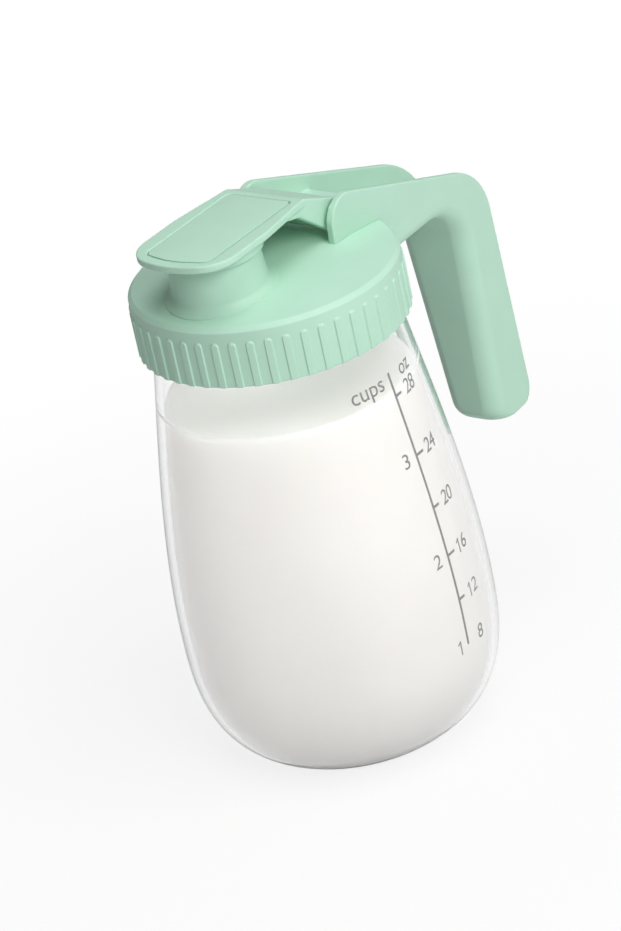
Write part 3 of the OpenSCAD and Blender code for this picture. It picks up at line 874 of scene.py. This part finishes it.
def makeForm(name, inset):
    # sections from the grip's lower end up its front face, round the bend and along the arm
    h = handle
    rows = []
    tip = math.radians(h["leanFront"])
    ends = [(h["gripLow"] - h["overcut"], h["endR"], h["tipR"])]
    for k in range(h["endSteps"] + 1):  # the rounding of the front edges runs on round the lower end
        a = math.pi / 2 * k / h["endSteps"]
        z = h["gripLow"] + h["endR"] * (1 - math.cos(a))
        rise = min(1, (z - h["gripLow"]) / h["tipR"])
        ends.append((z, h["endR"] * (1 - math.sin(a)), h["tipR"] * (1 - math.sqrt(1 - (1 - rise) ** 2))))
    for z, setBack, shrink in ends:
        x = faceAt(z) + setBack * math.cos(tip)
        rows.append(formSection(x, z + setBack * math.sin(tip), math.cos(tip), math.sin(tip),
                                h["roundW"], h["roundD"], inset, shrink))
    frontX = faceAt(h["armZ"])
    back = Vector((faceAt(h["gripLow"]) - frontX, h["gripLow"] - h["armZ"])).normalized()
    ahead = Vector((-1, 0))
    half = back.angle(ahead) / 2
    centre = Vector((frontX, h["armZ"])) + (back + ahead).normalized() * (h["bendInR"] / math.sin(half))
    for k in range(h["bendSteps"] + 1):
        t = k / h["bendSteps"]
        a = math.radians(h["leanFront"] + (90 - h["leanFront"]) * t)
        n = Vector((math.cos(a), math.sin(a)))
        p = centre + n * h["bendInR"]
        ease = t * t * (3 - 2 * t)
        wide = h["roundW"] + (h["armRound"] - h["roundW"]) * ease
        deep = h["roundD"] + (h["armRound"] - h["roundD"]) * ease
        rows.append(formSection(p.x, p.y, n.x, n.y, wide, deep, inset))
    startX = h["hingeX"] - 2 * h["earR"]
    rows.append(formSection(startX, h["armZ"], 0, 1, h["armRound"], h["armRound"], inset))
    return tidyNormals(cappedPiece(name, rows))


def makePlate(name, path):
    sides = (-handle["plateHalfW"], handle["plateHalfW"])
    return tidyNormals(cappedPiece(name, [[(p.x, y, p.y) for p in path] for y in sides]))


def makeLidTool():
    # the lid's outside as the handle's seat: ribs, band, bevel and dome
    gap, low, steps = handle["lidGap"], handle["toolLow"], handle["toolSteps"]
    wide, slim, step = handle["lidR"] + gap, lid["bandR"] + gap, lid["ribTop"] + lid["ribEdge"]
    line = [(0, low), (wide, low), (wide, step), (slim, step), (slim, lid["bevelZ"])]
    for k in range(steps + 1):
        r = lid["domeR"] * (1 - k / steps)
        line.append((r, domeHeight(r, 0) + gap))
    return tidyNormals(lathePiece("lidTool", line, handle["toolAround"]))


def makeHandle():
    piece = makePlate("handleBody", handleOutline())
    carve(piece, makeForm("form", 0), "INTERSECT")
    hollow = makePlate("hollow", hollowOutline())
    carve(hollow, makeForm("formIn", handle["wall"]), "INTERSECT")
    carve(piece, hollow, "DIFFERENCE")
    carve(piece, makeLidTool(), "DIFFERENCE")
    softenEdges(piece, handle["grain"], handle["soften"], handle["keep"])
    return finishPiece(piece, "lid_unit", mint, ("handle",), plainAngle)


gripCover = dict(grain=0.4, soften=5)


def makeCover():
    piece = copyNode("gripCover", "grip_cover")
    softenEdges(piece, gripCover["grain"], gripCover["soften"])
    return finishPiece(piece, "lid_unit", mint, ("grip_cover",), plainAngle)


makeHandle()
makeCover()


# flip cap and its inlay panel

flipCap = dict(topZ=188.0, grain=0.32, soften=6, keep=0.45)


def makeFlipCap():
    piece = copyNode("flipCap", "flip_cap")
    softenEdges(piece, flipCap["grain"], flipCap["soften"], flipCap["keep"])
    for v in piece.data.vertices:  # the turned grid leaves rounding errors on the flat top
        v.co.z = min(v.co.z, flipCap["topZ"])
    return finishPiece(piece, "flip", mint, ("flip_cap",), plainAngle)


panel = dict(frontX=-39.9, rearX=5.5, halfW=12.6, bowR=28.1, capBowR=32, bow=3.7, bowOver=18.4, cornerR=3.5,
             rearR=1.8, thick=1.1, trim=0.26, edge=0.12, lowEdge=(0.05, 0.1), arcSteps=16, edgeSteps=4,
             flatAngle=35)


def panelPath(shrink):
    # round the panel, a little inside its groove
    p = panel
    tilt = math.atan(p["bow"] / p["bowOver"])
    bulge = 1 / math.cos(tilt) - 1
    front, rear, w = p["frontX"] + shrink, p["rearX"] - shrink, p["halfW"] - shrink
    bowR, cornerR, rearR = p["bowR"] - shrink, p["cornerR"] - shrink, p["rearR"] - shrink
    side = front - p["capBowR"] * bulge + w * math.tan(tilt)
    return roundPath(((rear, w, rearR), (side, w, cornerR), (front - bowR * bulge, 0, bowR),
                      (side, -w, cornerR), (rear, -w, rearR)), p["arcSteps"])


def makePanel():
    p = panel
    top, trim, edge = flipCap["topZ"], p["trim"], p["edge"]
    low = top - p["thick"]
    ease, rise = p["lowEdge"]
    line = [(trim + ease, low), (trim, low + rise)]
    line += cornerArc(trim + edge, top - edge, edge, 180, 90, p["edgeSteps"])  # round along the upper edge
    piece = cappedPiece("flipPanel", [[(q.x, q.y, z) for q in panelPath(shrink)] for shrink, z in line])
    return finishPiece(piece, "flip", mint, ("flip_panel",), p["flatAngle"])


makeFlipCap()
makePanel()


# shader helpers for floor and world

def addMath(nodes, links, operation, first, second):
    # second is a socket or a plain number
    node = nodes.new("ShaderNodeMath")
    node.operation = operation
    links.new(first, node.inputs[0])
    if isinstance(second, float):
        node.inputs[1].default_value = second
    else:
        links.new(second, node.inputs[1])
    return node.outputs["Value"]


def addMix(nodes, links, share, first, second):
    mix = nodes.new("ShaderNodeMixShader")
    links.new(share, mix.inputs["Fac"])
    links.new(first, mix.inputs[1])
    links.new(second, mix.inputs[2])
    return mix.outputs["Shader"]


def seenRays(nodes, links):
    # 1 for the camera, also through clear walls, 0 for light that milk or plastic has scattered
    rays = nodes.new("ShaderNodeLightPath").outputs
    seen = addMath(nodes, links, "MAXIMUM", rays["Is Camera Ray"], rays["Is Transmission Ray"])
    straight = addMath(nodes, links, "LESS_THAN", rays["Diffuse Depth"], 0.5)
    return rays, addMath(nodes, links, "MULTIPLY", seen, straight)


# floor, light and camera

studioFloor = dict(half=6.0, drop=0.0002, deep=(0.93, 0.93, 0.93, 1), pale=(0.9393, 0.9393, 0.9393, 1),
                   driftScale=3, roughness=0.9, specular=0.1,
                   nearAt=0.10, nearLift=0.84, farAt=0.32, farLift=1.0)


def makeFloor():
    f = studioFloor
    h = f["half"]
    floor = newPiece("studioFloor", ((-h, -h, 0), (h, -h, 0), (h, h, 0), (-h, h, 0)), ((0, 1, 2, 3),))
    floor.location.z = -f["drop"]
    mat, nodes, links, shader, place = startFinish("paleFloor")
    addTint(nodes, links, shader, addNoise(nodes, links, place, f["driftScale"], detail=2), f)
    shader.inputs["Roughness"].default_value = f["roughness"]
    shader.inputs["Specular IOR Level"].default_value = f["specular"]
    # seen directly or through the glass the floor is nearly white, and holds the shadow near the jar
    glow = nodes.new("ShaderNodeEmission")
    glow.inputs["Strength"].default_value = 1.0
    away = nodes.new("ShaderNodeVectorMath")
    away.operation = "LENGTH"
    links.new(place.outputs["Object"], away.inputs[0])
    spread = addRamp(nodes, links, away.outputs["Value"], (f["nearAt"], grey(f["nearLift"])),
                     (f["farAt"], grey(f["farLift"])))
    rays, seen = seenRays(nodes, links)
    lift = addMath(nodes, links, "MULTIPLY", seen, spread)
    skin = addMix(nodes, links, lift, shader.outputs["BSDF"], glow.outputs["Emission"])
    links.new(skin, nodes["Material Output"].inputs["Surface"])
    floor.data.materials.append(mat)
    return floor


studio = dict(worldFill=0.14, glossFill=0.55, backFill=1.0, lampAim=(0.0, 0.0, 0.10),
              lamps=(("keyLamp", (-0.43, -1.06, 0.90), 0.7, 8.1), ("sideLamp", (0.19, -1.06, 1.00), 0.7, 3.2),
                     ("topLamp", (-0.02, -0.25, 1.46), 0.9, 7.8)),
              milkLamps=(("surfaceLamp", (0.0, 0.0, 1.40), 0.5, 3.0),
                         ("fillLamp", (-0.75, 0.75, 0.08), 0.7, 6.5),
                         ("neckLamp", (0.003, 0.018, 0.165), 0.05, 0.0185)))


def makeWorld():
    # dim on the object, grey in reflections, white behind the jar and through it
    world = bpy.data.worlds.new("studioWorld")
    scene.world = world
    world.use_nodes = True
    nodes, links = world.node_tree.nodes, world.node_tree.links
    nodes.clear()
    fills = []
    for strength in (studio["worldFill"], studio["glossFill"], studio["backFill"]):
        fill = nodes.new("ShaderNodeBackground")
        fill.inputs["Color"].default_value = grey(1)
        fill.inputs["Strength"].default_value = strength
        fills.append(fill.outputs["Background"])
    rays, seen = seenRays(nodes, links)
    unseen = addMix(nodes, links, rays["Is Glossy Ray"], fills[0], fills[1])
    out = nodes.new("ShaderNodeOutputWorld")
    links.new(addMix(nodes, links, seen, unseen, fills[2]), out.inputs["Surface"])


def makeLamp(name, place, size, power):
    lamp = bpy.data.lights.new(name, "AREA")
    lamp.shape = "DISK"
    lamp.size = size
    lamp.energy = power
    holder = bpy.data.objects.new(name, lamp)
    scene.collection.objects.link(holder)
    holder.location = place
    holder.rotation_euler = (Vector(studio["lampAim"]) - Vector(place)).to_track_quat("-Z", "Y").to_euler()
    holder.visible_transmission = False  # its light already passes the clear wall unshadowed
    return holder


def makeLamps(floor):
    for lampValues in studio["lamps"]:
        makeLamp(*lampValues)
    groups = []
    for name, piece in (("milkOnly", milkPiece), ("floorOnly", floor)):
        group = bpy.data.collections.new(name)
        group.objects.link(piece)
        groups.append(group)
    for lampValues in studio["milkLamps"]:  # the milk stays white in the lid's shadow
        linking = makeLamp(*lampValues).light_linking
        linking.receiver_collection, linking.blocker_collection = groups


view = dict(place=(-1.065414, -0.960921, 0.801944), aim=(0.66662, 0.60023, -0.44198), rollDeg=-12.41,
            focal=5000, imageH=931, sensorH=36, clipEnd=50)  # focal length and image in pixels


def makeCamera():
    data = bpy.data.cameras.new("photoCamera")
    data.sensor_fit = "VERTICAL"
    data.sensor_height = view["sensorH"]
    data.lens = view["focal"] * view["sensorH"] / view["imageH"]
    data.clip_end = view["clipEnd"]
    camera = bpy.data.objects.new("photoCamera", data)
    scene.collection.objects.link(camera)
    aim = Vector(view["aim"]).normalized()
    right = aim.cross(Vector((0, 0, 1))).normalized()
    up = right.cross(aim)
    c, s = math.cos(math.radians(view["rollDeg"])), math.sin(math.radians(view["rollDeg"]))
    turn = Matrix((right * c + up * s, up * c - right * s, -aim)).transposed().to_4x4()
    camera.matrix_world = Matrix.Translation(Vector(view["place"])) @ turn
    scene.camera = camera


stageFloor = makeFloor()
makeWorld()
makeLamps(stageFloor)
makeCamera()
scene.view_settings.view_transform = "Standard"
print("floor, light and camera set")
